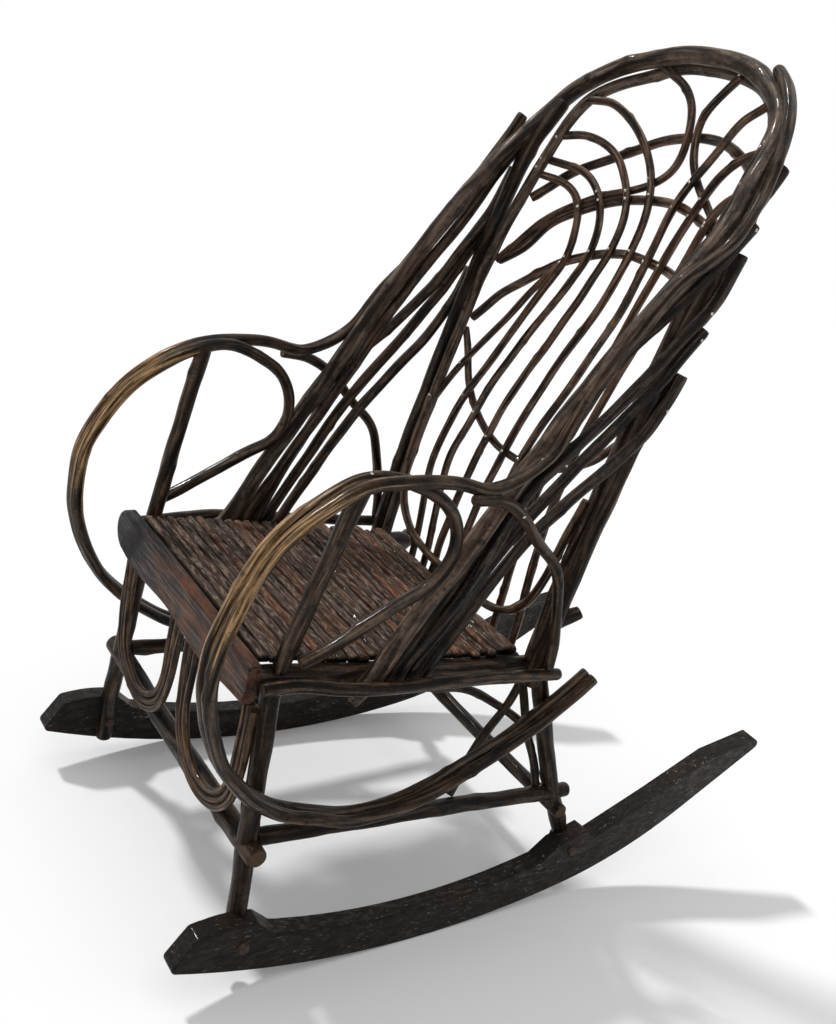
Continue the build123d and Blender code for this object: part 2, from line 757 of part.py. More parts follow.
# --- Bottom loop in front of the uprights ----------------------------------------
with BuildPart() as bottom_loop:
    loop_layer = -(back_rod_radius + bottom_loop_radius - notch)
    stick(on_back([
        (-177, 632), (-172, 560), (-168, 510), (-148, 465), (-113, 438), (-57, 426), (62, 424), (96, 428),
        (130, 444), (155, 473), (166, 510), (171, 560), (177, 632),
    ], layer=loop_layer), bottom_loop_radius)
    add(inner_hoop.part, mode=Mode.SUBTRACT)
    add(back_branch.part, mode=Mode.SUBTRACT)
    for upright in uprights.values():
        add(upright, mode=Mode.SUBTRACT)
save("bottom_loop", bottom_loop.part)

# --- Seat slats: split half-round sticks across the rails, a wide slab at the rear --
with BuildPart() as seat_slats:
    for slat in range(slat_count + 1):
        if slat < slat_count:
            along = 8 + slat_pitch * (slat + 0.5)
            width = slat_pitch - 1 + 0.5 * sin(2.3 * slat)
            height = slat_height + 0.7 * sin(1.7 * slat)
        else:
            along = 8 + slat_pitch * slat_count + slab_width / 2
            width = slab_width
            height = slab_height
        at_end = slat < 4 or slat > slat_count - 2
        reach = 172 if at_end else 178 + 3 * sin(3.1 * slat)
        with BuildSketch(seat_frame.offset(-reach)):
            with BuildLine():
                low, high = along - width / 2, along + width / 2
                Polyline((low, slat_edge), (low, 0), (high, 0), (high, slat_edge))
                ThreePointArc((high, slat_edge), (along, height), (low, slat_edge))
            make_face()
        extrude(amount=2 * reach)
    for side, sign in SIDES:
        add(arm_posts[side], mode=Mode.SUBTRACT)
        add(uprights["back_rod_1"], mode=Mode.SUBTRACT)
save("seat_slats", seat_slats.part)

# --- Stubs behind the posts -------------------------------------------------------
with BuildPart() as post_stubs:
    for side, sign in SIDES:
        stick(mirrored(sign, [(197, 46, 461), (205, 76, 481)]), stub_radius)
        add(posts[side], mode=Mode.SUBTRACT)
    add(inner_hoop.part, mode=Mode.SUBTRACT)
save("post_stubs", post_stubs.part)
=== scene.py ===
"""Bent-stick rocking chair: the varnished bark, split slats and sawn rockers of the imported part."""
import heapq
import math

import bpy
import numpy as np
from mathutils import Matrix, Vector
from mathutils.bvhtree import BVHTree


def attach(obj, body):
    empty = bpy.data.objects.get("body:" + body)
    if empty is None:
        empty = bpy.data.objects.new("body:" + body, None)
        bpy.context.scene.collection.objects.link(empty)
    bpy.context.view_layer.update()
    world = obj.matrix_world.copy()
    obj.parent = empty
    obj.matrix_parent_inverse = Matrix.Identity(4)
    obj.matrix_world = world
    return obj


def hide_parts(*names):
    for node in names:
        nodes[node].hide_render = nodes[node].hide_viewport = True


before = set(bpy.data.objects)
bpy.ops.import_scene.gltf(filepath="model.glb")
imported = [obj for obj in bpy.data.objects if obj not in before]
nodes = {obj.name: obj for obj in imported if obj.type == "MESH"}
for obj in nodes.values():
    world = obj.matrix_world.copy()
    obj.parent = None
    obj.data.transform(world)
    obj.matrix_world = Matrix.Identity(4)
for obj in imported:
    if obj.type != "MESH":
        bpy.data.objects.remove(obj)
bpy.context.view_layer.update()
scene = bpy.context.scene

# ---------------------------------------------------------------------------
# Rockers: a pair of sawn oak runners, dark varnish scuffed through to pale
# flecks. Each is bolted to the outer faces of a front and a rear leg.


def node(tree, kind, *inputs, out=0, **settings):
    """Adds a shader node, fills its inputs in order (None leaves one alone) and gives an output."""
    made = tree.nodes.new(kind)
    for name, value in settings.items():
        setattr(made, name, value)
    for place, value in enumerate(inputs):
        if value is not None:
            feed(tree, made.inputs[place], value)
    return Wire(tree, made.outputs[out])


def feed(tree, socket, value):
    """Links a wire to a socket, or sets the socket's plain value."""
    if isinstance(value, Wire):
        tree.links.new(value.socket, socket)
    elif socket.type == "RGBA" and len(value) == 3:
        socket.default_value = (*value, 1)
    else:
        socket.default_value = value


class Wire:
    """A socket that takes part in sums, so that shader maths reads as a formula."""

    def __init__(self, tree, socket):
        self.tree, self.socket = tree, socket

    def maths(self, operation, *others, clamp=False):
        if self.socket.type in ("VECTOR", "RGBA"):
            return node(self.tree, "ShaderNodeVectorMath", self, *others, operation=operation)
        return node(self.tree, "ShaderNodeMath", self, *others, operation=operation, use_clamp=clamp)

    def __add__(self, other):
        return self.maths("ADD", other)

    def __radd__(self, other):
        return self.maths("ADD", other)

    def __sub__(self, other):
        return self.maths("SUBTRACT", other)

    def __rsub__(self, other):
        return self.maths("MULTIPLY", -1.0) + other

    def __mul__(self, other):
        return self.maths("MULTIPLY", other)

    def __rmul__(self, other):
        return self.maths("MULTIPLY", other)

    def __pow__(self, other):
        return self.maths("POWER", other)

    def step(self, low, high):
        """0 below low, 1 above high, smooth between."""
        return node(
            self.tree, "ShaderNodeMapRange", self, low, high, 0.0, 1.0, interpolation_type="SMOOTHSTEP",
        )

    def noise(self, scale, detail=3.0, rough=0.55):
        """Noise read at this vector, 0 to 1."""
        made = self.tree.nodes.new("ShaderNodeTexNoise")
        feed(self.tree, made.inputs["Vector"], self)
        for name, value in (("Scale", scale), ("Detail", detail), ("Roughness", rough)):
            made.inputs[name].default_value = value
        return Wire(self.tree, made.outputs["Fac"])


def blend_colour(tree, share, low, high):
    """low where share is 0, high where it is 1."""
    made = tree.nodes.new("ShaderNodeMix")
    made.data_type = "RGBA"
    for place, value in ((0, share), (6, low), (7, high)):
        feed(tree, made.inputs[place], value)
    return Wire(tree, made.outputs[2])


def new_material(name):
    material = bpy.data.materials.new(name)
    material.use_nodes = True
    return material, material.node_tree, material.node_tree.nodes["Principled BSDF"]


def finish_surface(tree, surface, colour, rough, coat, height, depth):
    """Feeds colour, roughness, varnish and a bump of that depth in metres."""
    feed(tree, surface.inputs["Base Color"], colour)
    feed(tree, surface.inputs["Roughness"], rough)
    feed(tree, surface.inputs["Coat Weight"], coat)
    surface.inputs["Coat Roughness"].default_value = 0.11
    surface.inputs["Specular IOR Level"].default_value = 0.08
    bump = tree.nodes.new("ShaderNodeBump")
    bump.inputs["Strength"].default_value = 1.0
    bump.inputs["Distance"].default_value = depth
    feed(tree, bump.inputs["Height"], height)
    tree.links.new(bump.outputs["Normal"], surface.inputs["Normal"])


def oak_material():
    """Sawn oak: grain along the runner, pores, pale scuffs and nicks through the varnish."""
    material, tree, surface = new_material("rocker_oak")
    place = node(tree, "ShaderNodeTexCoord", out=3)
    grain = (place * (260.0, 12.0, 150.0)).noise(1.0, 5.0, 0.6)
    pores = (place * (900.0, 45.0, 900.0)).noise(1.0, 2.0).step(0.62, 0.72)
    cloud = place.noise(14.0, 4.0)
    scuff = (place * (60.0, 26.0, 60.0)).noise(2.3, 6.0, 0.7)
    fleck = (place * (300.0, 80.0, 300.0)).noise(1.0, 3.0, 0.7).step(0.62, 0.69)
    colour = blend_colour(tree, grain, (0.004, 0.0035, 0.003), (0.018, 0.013, 0.010))
    colour = blend_colour(tree, cloud.step(0.50, 0.75) * 0.5, colour, (0.036, 0.021, 0.013))
    colour = blend_colour(tree, (scuff * cloud).step(0.34, 0.46) * 0.45, colour, (0.10, 0.082, 0.066))
    colour = blend_colour(tree, fleck * cloud.step(0.40, 0.56) * 0.8, colour, (0.30, 0.25, 0.20))
    colour = blend_colour(tree, pores * 0.7, colour, (0.004, 0.003, 0.003))
    shine = scuff.step(0.45, 0.62) * 0.22
    height = grain * 0.8 - pores * 0.6 + scuff
    finish_surface(tree, surface, colour, grain * 0.25 + 0.38, shine, height, 0.0016)
    return material


def show_solid(name, material):
    """Gives a CAD node its finish and leaves its shape alone."""
    solid = nodes[name]
    solid.data.materials.clear()
    solid.data.materials.append(material)


oak = oak_material()
for side in ("left", "right"):
    show_solid(f"rocker_{side}", oak)

# ---------------------------------------------------------------------------
# Bolts: domed iron heads outside the rockers and nuts inside the legs, dull
# black with brown rust where the paint has gone.


def iron_material():
    """Old iron: dark, blotched with rust, finely pitted."""
    material, tree, surface = new_material("bolt_iron")
    place = node(tree, "ShaderNodeTexCoord", out=3)
    rust = place.noise(260.0, 5.0, 0.7).step(0.46, 0.62)
    pits = place.noise(1400.0, 2.0)
    colour = blend_colour(tree, rust, (0.035, 0.033, 0.031), (0.12, 0.055, 0.03))
    finish_surface(tree, surface, colour, rust * 0.35 + 0.38, 0.0, pits, 0.0002)
    feed(tree, surface.inputs["Metallic"], rust * -0.6 + 0.8)
    return material


iron = iron_material()
show_solid("rocker_bolts", iron)

# ---------------------------------------------------------------------------
# Legs, stretchers and seat rails: thick hickory sticks with the bark on, under
# near-black varnish. The legs stand on the rockers and carry the rails.

AROUND = 28
ROW_STEP = 0.0038
KNOT_GAP = 0.12
END_RING, NEXT_RING, CAP_RING = 0.90, 0.965, 0.94
LINE_STEP = 0.006
LOOK_ALONG = 0.09
THICKNESS_SPREAD = 0.15


def merged(name):
    """A CAD node's vertices and triangles with equal corners merged."""
    mesh = nodes[name].data
    places = np.empty(len(mesh.vertices) * 3, np.float32)
    mesh.vertices.foreach_get("co", places)
    mesh.calc_loop_triangles()
    corners = np.empty(len(mesh.loop_triangles) * 3, np.int32)
    mesh.loop_triangles.foreach_get("vertices", corners)
    places, index = np.unique(places.reshape(-1, 3), axis=0, return_inverse=True)
    corners = index.reshape(-1)[corners].reshape(-1, 3)
    whole = (corners != np.roll(corners, 1, axis=1)).all(1)
    return places.astype(float), corners[whole]


def solids_of(places, corners):
    """Groups the triangles that share corners: one group for each solid."""
    label = np.arange(len(places))
    while True:
        low = label[corners].min(1)
        new = label.copy()
        for k in range(3):
            np.minimum.at(new, corners[:, k], low)
        new = new[new]
        if (new == label).all():
            break
        label = new
    group = label[corners[:, 0]]
    return [corners[group == g] for g in np.unique(group)]


def walk(places, corners, start):
    """Shortest way over the mesh edges from one corner to every other."""
    near = {}
    for a, b, c in corners.tolist():
        for p, q in ((a, b), (b, c), (c, a)):
            length = math.dist(places[p], places[q])
            near.setdefault(p, []).append((q, length))
            near.setdefault(q, []).append((p, length))
    reach = {start: 0.0}
    queue = [(0.0, start)]
    while queue:
        so_far, p = heapq.heappop(queue)
        if so_far > reach[p]:
            continue
        for q, length in near[p]:
            total = so_far + length
            if total < reach.get(q, 1e9):
                reach[q] = total
                heapq.heappush(queue, (total, q))
    return reach


def along_line(points, line, guess, window):
    """How far along a line each point lies, looked for near a first guess."""
    steps = np.diff(line, axis=0)
    lengths = np.linalg.norm(steps, axis=1)
    starts = np.concatenate([[0], np.cumsum(lengths)])[:-1]
    offset = points[:, None] - line[None, :-1]
    share = np.clip((offset * steps).sum(2) / (lengths**2 + 1e-12), 0, 1)
    where = starts + share * lengths
    off = np.linalg.norm(offset - steps * share[:, :, None], axis=2)
    off[np.abs(where - guess[:, None]) > window] = 1e9
    return where[np.arange(len(points)), off.argmin(1)]


def gathered(order, points, size):
    """Means of the points in equal steps of their order."""
    cell = np.floor((order - order.min()) / size).astype(int)
    _, cell = np.unique(cell, return_inverse=True)
    count = np.bincount(cell)
    return np.stack([np.bincount(cell, points[:, k]) / count for k in range(points.shape[1])], 1)


def stick_line(places, corners):
    """A bent stick's centre line and radius, from the thickness measured at random spots."""
    used = np.unique(corners)
    reach = walk(places, corners, int(used[0]))
    start = max(reach, key=reach.get)
    reach = walk(places, corners, start)
    run = np.zeros(len(places))
    run[list(reach)] = list(reach.values())
    a, b, c = (places[corners[:, k]] for k in range(3))
    normal = np.cross(b - a, c - a)
    area = np.linalg.norm(normal, axis=1)
    normal /= area[:, None] + 1e-18
    tree = BVHTree.FromPolygons(places.tolist(), corners.tolist())
    rng = np.random.default_rng(3)
    pick = rng.choice(len(corners), int(900 + 1300 * run.max()), p=area / area.sum())
    share = rng.dirichlet((1, 1, 1), len(pick))
    spots = (places[corners[pick]] * share[:, :, None]).sum(1)
    orders = (run[corners[pick]] * share).sum(1)
    rows = []
    for spot, outward, order in zip(spots, normal[pick], orders):
        inward = Vector(-outward)
        hit, _, _, thick = tree.ray_cast(Vector(spot) + inward * 1e-5, inward, 0.1)
        if hit is not None:
            rows.append([order, thick / 2, *(spot - outward * thick / 2)])
    rows = np.array(rows)
    usual = np.median(rows[:, 1])
    rows = rows[np.abs(rows[:, 1] - usual) < THICKNESS_SPREAD * usual]
    order, points = rows[:, 0], rows[:, 2:]
    for size in (0.045, 0.025, 0.014):
        line = gathered(order, points, min(size, np.ptp(order) / 4))
        length = np.linalg.norm(np.diff(line, axis=0), axis=1).sum()
        guess = (order - order.min()) / (np.ptp(order) + 1e-9) * length
        order = along_line(points, line, guess, LOOK_ALONG)
    table = gathered(order, np.column_stack([order, rows[:, 1], points]), LINE_STEP)
    line, radius = table[:, 2:], table[:, 1]
    ends = []
    for tip, inner in ((0, min(3, len(line) - 1)), (-1, max(-4, -len(line)))):
        outward = line[tip] - line[inner]
        outward /= np.linalg.norm(outward)
        mine = places[used]
        offset = mine - line[tip]
        beyond = offset @ outward
        aside = np.linalg.norm(offset - beyond[:, None] * outward, axis=1)
        beyond = beyond[(aside < 1.4 * usual) & (beyond < LOOK_ALONG)]
        ends.append(line[tip] + outward * max(beyond.max(), 0.0))
    line = np.vstack([ends[0], line, ends[1]])
    radius = np.concatenate([radius[:1], radius, radius[-1:]])
    return line, radius


def ripple(rng, t, lengths, size):
    """A sum of sine waves of those lengths with random phases."""
    total = np.zeros_like(t)
    for length in lengths:
        total = total + np.sin(2 * np.pi * t / (length * rng.uniform(0.8, 1.25)) + rng.uniform(0, 2 * np.pi))
    return total * size / math.sqrt(len(lengths))


def bark_rows(line, radius, rng, ridge, knot):
    """Rows of rings round a centre line. The radius is the stick's own, times slow swells, times
    lengthwise ridges (whole waves round the ring whose phase drifts along), plus knots (bell shapes
    along and round the stick). The last rings close the ends with a rounded sawn face."""
    along = np.concatenate([[0], np.cumsum(np.linalg.norm(np.diff(line, axis=0), axis=1))])
    length = along[-1]
    count = max(int(length / ROW_STEP), 10)
    inner = np.linspace(0.0012, length - 0.0012, count)
    t = np.concatenate([[0, 0.0004], inner, [length - 0.0004, length]])
    centre = np.stack([np.interp(t, along, line[:, k]) for k in range(3)], 1)
    size = np.interp(t, along, radius)
    smooth = np.ones(7) / 7
    for k in range(3):
        column = centre[:, k]
        before, after = 2 * column[0] - column[3:0:-1], 2 * column[-1] - column[-2:-5:-1]
        centre[:, k] = np.convolve(np.concatenate([before, column, after]), smooth, "valid")
    tangent = np.gradient(centre, axis=0)
    tangent /= np.linalg.norm(tangent, axis=1)[:, None] + 1e-12
    side = np.empty_like(centre)
    guide = np.array([0.31, 0.77, -0.55])
    for i in range(len(t)):
        guide = guide - tangent[i] * (guide @ tangent[i])
        guide /= np.linalg.norm(guide)
        side[i] = guide
    up = np.cross(tangent, side)
    angle = np.linspace(0, 2 * np.pi, AROUND, endpoint=False)
    turn = angle[None, :] + ripple(rng, t, (0.5, 0.21), 0.5)[:, None]
    shape = 1 + ripple(rng, t, (0.31, 0.13, 0.06), 0.022)[:, None]
    relief = np.zeros((len(t), AROUND))
    for waves, share in ((2, 0.7), (3, 0.8), (5, 0.9), (8, 0.8)):
        depth = share * (0.6 + 0.4 * ripple(rng, t, (0.2, 0.09), 1.0))
        relief = relief + depth[:, None] * np.sin(waves * turn + rng.uniform(0, 6.28))
    shape = shape + ridge * 0.6 * relief
    knots = []
    for _ in range(int(length / KNOT_GAP * rng.uniform(0.8, 1.2)) + 1):
        at = rng.uniform(0.01, max(length - 0.01, 0.011))
        knots.append((at, rng.uniform(0, 2 * np.pi), rng.uniform(0.5, 1.0)))
    scar = np.zeros((len(t), AROUND))
    for at, way, height in knots:
        spread = radius.mean() * 0.85
        near = np.exp(-(((t - at) / spread) ** 2))[:, None]
        facing = np.exp(-((np.angle(np.exp(1j * (angle - way)))) ** 2) / 0.5)[None, :]
        shape = shape + knot * height * near * (facing + 0.22)
        scar = np.maximum(scar, np.exp(-(((t - at) / (spread * 0.7)) ** 2))[:, None] * facing)
    ring = size[:, None] * shape
    ring[[0, -1]] *= END_RING
    ring[[1, -2]] *= NEXT_RING
    centre = centre + side * ripple(rng, t, (0.23, 0.09), 0.0004)[:, None]
    out = np.cos(angle)[None, :, None] * side[:, None, :] + np.sin(angle)[None, :, None] * up[:, None, :]
    surface = centre[:, None, :] + out * ring[:, :, None]
    flat = np.stack([np.cos(angle) * ring, np.sin(angle) * ring, np.repeat(t[:, None], AROUND, 1)], 2)
    cut = np.zeros((len(t), AROUND))
    caps = []
    for row in (0, -1):
        face = centre[row] + (surface[row] - centre[row]) * CAP_RING
        caps.append((face, flat[row] * (CAP_RING, CAP_RING, 1), centre[row], (0, 0, t[row])))
    surface = np.concatenate([caps[0][0][None], surface, caps[1][0][None]])
    flat = np.concatenate([caps[0][1][None], flat, caps[1][1][None]])
    cut = np.concatenate([np.ones((1, AROUND)), cut, np.ones((1, AROUND))])
    scar = np.concatenate([scar[:1], scar, scar[-1:]])
    relief = np.concatenate([relief[:1], relief, relief[-1:]]) * 0.22 + 0.5
    return surface, flat, cut, scar, relief, caps


def closed_tube(surface, flat, cut, scar, caps, first):
    """Corner lists of a ringed tube with a centre corner at each end."""
    rows, columns = surface.shape[:2]
    index = first + np.arange(rows * columns).reshape(rows, columns)
    right = np.roll(index, -1, axis=1)
    quads = np.stack([index[:-1], right[:-1], right[1:], index[1:]], 2).reshape(-1, 4)
    start, end = first + rows * columns, first + rows * columns + 1
    low = np.stack([np.full(columns, start), right[0], index[0]], 1)
    high = np.stack([np.full(columns, end), index[-1], right[-1]], 1)
    places = np.concatenate([surface.reshape(-1, 3), [caps[0][2], caps[1][2]]])
    own = np.concatenate([flat.reshape(-1, 3), [caps[0][3], caps[1][3]]])
    flags = np.concatenate([cut.reshape(-1), [1, 1]])
    scars = np.concatenate([scar.reshape(-1), [0, 0]])
    return places, own, flags, scars, quads, np.concatenate([low, high])


def new_piece(name, places, quads, triangles, vectors, material, replaced):
    """A smooth mesh from arrays, riding on the chair, with its named vector attributes."""
    mesh = bpy.data.meshes.new(name)
    loops = np.concatenate([quads.reshape(-1), triangles.reshape(-1)]).astype(np.int32)
    starts = np.concatenate([
        np.arange(len(quads)) * 4, len(quads) * 4 + np.arange(len(triangles)) * 3,
    ]).astype(np.int32)
    mesh.vertices.add(len(places))
    mesh.vertices.foreach_set("co", places.astype(np.float32).reshape(-1))
    mesh.loops.add(len(loops))
    mesh.loops.foreach_set("vertex_index", loops)
    mesh.polygons.add(len(starts))
    mesh.polygons.foreach_set("loop_start", starts)
    mesh.polygons.foreach_set("use_smooth", np.ones(len(starts), bool))
    mesh.update(calc_edges=True)
    for label, values in vectors.items():
        attribute = mesh.attributes.new(label, "FLOAT_VECTOR", "POINT")
        attribute.data.foreach_set("vector", values.astype(np.float32).reshape(-1))
    mesh.materials.append(material)
    piece = bpy.data.objects.new(name, mesh)
    scene.collection.objects.link(piece)
    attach(piece, "root")
    if replaced:
        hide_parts(*replaced)
    return piece


lines = {}


def dress(name, material, ridge=0.045, knot=0.16, wear=None):
    """Covers each stick of a CAD node with bark. wear(surface) gives how rubbed each corner is."""
    places, corners = merged(name)
    parts = []
    first = 0
    lines[name] = []
    for number, group in enumerate(solids_of(places, corners)):
        rng = np.random.default_rng(sum(map(ord, name)) * 7 + number)
        line, radius = stick_line(places, group)
        lines[name].append((line, radius))
        surface, flat, cut, scar, relief, caps = bark_rows(line, radius, rng, ridge, knot)
        rubbed = np.zeros(surface.shape[:2]) if wear is None else wear(surface)
        part = closed_tube(surface, flat, cut, scar, caps, first)
        seed = np.full(len(part[0]), rng.uniform(0, 9))
        both = [np.concatenate([values.reshape(-1), [0, 0]]) for values in (rubbed, relief)]
        parts.append((*part, seed, *both))
        first += len(part[0])
    joined = [np.concatenate([p[k] for p in parts]) for k in range(9)]
    skin, own, cuts, scars, quads, ends, seeds, rubbed, relief = joined
    # The wear attribute holds the rubbing and the ridge relief; the relief drives the pale crests (partly
    # painted highlight) and the painted shade between the ridges.
    vectors = {
        "bark": own,
        "stick": np.stack([cuts, seeds, scars], 1),
        "wear": np.stack([rubbed, relief, np.zeros_like(relief)], 1),
    }
    return new_piece(name + "_bark", skin, quads, ends, vectors, material, [name])


GOLD = (0.60, 0.36, 0.16)


def scaled(colour, share):
    """A colour made darker or lighter, up to 1."""
    return tuple(min(share * value, 1.0) for value in colour)


def bark_material(name, dark, mid, pale, pale_share=0.5, gloss=0.3, coat=0.3):
    """Varnished bark: ridges pale on their crests, partly painted highlight, and black between, painted
    shade in the furrows; blotches, long fibres, cross cracks, dark knot scars, golden streaks where the
    wear attribute is high, and ringed sawn ends."""
    material, tree, surface = new_material(name)
    own = node(tree, "ShaderNodeAttribute", out=1, attribute_name="bark")
    marks = node(tree, "ShaderNodeAttribute", out=1, attribute_name="stick")
    cut, seed, scar = (node(tree, "ShaderNodeSeparateXYZ", marks, out=k) for k in range(3))
    wear = node(tree, "ShaderNodeAttribute", out=1, attribute_name="wear")
    rub, relief = (node(tree, "ShaderNodeSeparateXYZ", wear, out=k) for k in range(2))
    place = own + node(tree, "ShaderNodeCombineXYZ", seed, seed * 1.7, seed * 2.9)
    fibre = (place * (900.0, 900.0, 30.0)).noise(1.0, 4.0, 0.65)
    streak = (place * (300.0, 300.0, 11.0)).noise(1.0, 4.0, 0.62)
    blotch = (place * (70.0, 70.0, 34.0)).noise(1.0, 5.0, 0.65)
    cracks = (place * (150.0, 150.0, 520.0)).noise(1.0, 3.0, 0.65)
    long_tone = (place * (6.0, 6.0, 7.0)).noise(1.0, 2.0)
    # Crest: pale bark along the ridges, partly painted highlight on their crests.
    crest = (relief * 0.45 + streak * 0.55).step(0.42, 0.66)
    colour = blend_colour(tree, (blotch * 0.55 + long_tone * 0.45).step(0.40, 0.60), dark, mid)
    colour = blend_colour(tree, crest * (blotch.step(0.40, 0.58) * 0.8 + 0.2) * pale_share, colour, pale)
    # Brighter fibres on the crests: painted glints.
    colour = blend_colour(tree, fibre.step(0.58, 0.68) * crest * 0.7, colour, scaled(pale, 2.1))
    black = scaled(dark, 0.4)
    # Black between the ridges: painted shade in the furrows.
    colour = blend_colour(tree, 1.0 - (relief * 0.5 + streak * 0.5).step(0.28, 0.46), colour, black)
    colour = blend_colour(tree, cracks.step(0.60, 0.68) * 0.55, colour, black)
    tan = (rub * 0.34 + streak * 0.42 + relief * 0.30 + blotch * 0.12).step(0.66, 0.84) * rub.step(0.02, 0.4)
    gold = blend_colour(tree, (fibre * 0.5 + streak * 0.5).step(0.43, 0.57), scaled(GOLD, 0.20), GOLD)
    colour = blend_colour(tree, tan, colour, gold)
    colour = blend_colour(tree, scar.step(0.45, 0.85) * 0.75, colour, black)
    x, y = (node(tree, "ShaderNodeSeparateXYZ", own, out=k) for k in range(2))
    distance = (x * x + y * y) ** 0.5
    rings = node(tree, "ShaderNodeMath", distance * 2600.0 + blotch * 3.0, operation="SINE") * 0.5 + 0.5
    sawn = blend_colour(tree, rings * 0.6 + fibre * 0.4, (0.035, 0.022, 0.015), (0.15, 0.10, 0.065))
    colour = blend_colour(tree, cut, colour, sawn)
    rough = blotch * 0.24 + cut * 0.3 + (gloss - 0.10)
    height = fibre * 0.5 + streak * 0.9 + blotch * 0.6 - cracks.step(0.58, 0.68) * 0.6
    shine = (1.0 - cut) * (crest * 0.85 + 0.06) * coat
    finish_surface(tree, surface, colour, rough, shine, height, 0.0026)
    return material


frame_bark = bark_material(
    "frame_bark", (0.006, 0.004, 0.003), (0.030, 0.017, 0.010), (0.13, 0.080, 0.048), gloss=0.32,
)
frame_nodes = [
    "front_stretcher", "rear_stretcher", "seat_front_rail", "seat_rear_rail", "post_stubs",
    *(f"{piece}_{side}" for side in ("left", "right") for piece in (
        "front_leg", "rear_leg", "side_stretcher", "seat_rail",
        "under_brace", "cross_brace", "leg_strut", "back_post",
    )),
]
for name in frame_nodes:
    dress(name, frame_bark)

# ---------------------------------------------------------------------------
# Seat: split half-round slats with mottled bark across the planed rails, and a
# bark-faced board hung across the front of the rails.


SLAT_ROWS, SLAT_COLUMNS = 90, 20


def slat_rows(low, high, rng):
    """A half-round slat: width and crown height wander along it, its profile is a flat foot, short
    sides and a bowed top with ridges. Rows run along X, columns round the profile."""
    t = np.linspace(0, 1, SLAT_ROWS)
    short = rng.uniform(0, 0.005, 2)
    x = low[0] + short[0] + (high[0] - low[0] - short.sum()) * t
    half = (high[1] - low[1]) / 2 * (0.97 + ripple(rng, t, (0.6, 0.23, 0.11), 0.055))
    crown = (high[2] - low[2]) * (0.97 + ripple(rng, t, (0.5, 0.19, 0.08), 0.07))
    turn = np.linspace(0, np.pi, SLAT_COLUMNS - 4)
    across = np.concatenate([[-0.98, -0.3, 0.3, 0.98], np.cos(turn)])
    lift = np.concatenate([[0, 0, 0, 0], 0.42 + 0.58 * np.sin(turn)])
    ridges = ripple(rng, across[None, :] * 2 + t[:, None] * 0.7, (0.9, 0.5, 0.25), 0.07) * (lift > 0)
    y = half[:, None] * across[None, :]
    z = crown[:, None] * (lift[None, :] + ridges) + ripple(rng, t, (0.7, 0.3), 0.0004)[:, None]
    return x, y, z


def slat_material():
    """Bark of the seat: warm brown, pale on the crowns (worn, and partly painted highlight), scaly blotches,
    painted shade dark in the creases.
    """
    material, tree, surface = new_material("slat_bark")
    own = node(tree, "ShaderNodeAttribute", out=1, attribute_name="bark")
    mark = node(tree, "ShaderNodeAttribute", out=1, attribute_name="stick")
    crown, seed = (node(tree, "ShaderNodeSeparateXYZ", mark, out=k) for k in range(2))
    place = own + node(tree, "ShaderNodeCombineXYZ", seed, seed * 1.7, seed * 2.9)
    scale = (place * (70.0, 260.0, 260.0)).noise(1.0, 5.0, 0.68)
    fibre = (place * (20.0, 800.0, 800.0)).noise(1.0, 4.0, 0.6)
    streak = (place * (7.0, 330.0, 330.0)).noise(1.0, 3.0, 0.6)
    blotch = (place * (14.0, 60.0, 60.0)).noise(1.0, 3.0, 0.6)
    redness = node(tree, "ShaderNodeMath", seed * 2.3 + blotch * 1.6, operation="SINE").step(-0.2, 0.9)
    base = blend_colour(tree, redness, (0.075, 0.052, 0.038), (0.17, 0.066, 0.032))
    colour = blend_colour(tree, (streak * 0.6 + blotch * 0.4).step(0.38, 0.60), (0.018, 0.011, 0.008), base)
    # Pale scales and rubbed fibres only on the crowns: wear, and partly painted highlight on the tops.
    scaly = scale.step(0.50, 0.60) * crown.step(0.55, 0.95) * 0.75
    colour = blend_colour(tree, scaly, colour, (0.27, 0.185, 0.135))
    rubbed = fibre.step(0.57, 0.68) * crown.step(0.4, 0.9) * 0.7
    colour = blend_colour(tree, rubbed, colour, (0.38, 0.24, 0.16))
    # Darker down the slat's sides towards the gaps: painted shade.
    colour = blend_colour(tree, 1.0 - crown.step(0.42, 0.82), colour, (0.004, 0.003, 0.003))
    colour = blend_colour(tree, 1.0 - streak.step(0.30, 0.42), colour, (0.006, 0.004, 0.003))
    height = scale * 0.8 + fibre * 0.4 + streak * 0.8
    finish_surface(tree, surface, colour, blotch * 0.25 + 0.34, scale.step(0.48, 0.6) * 0.3, height, 0.0026)
    return material


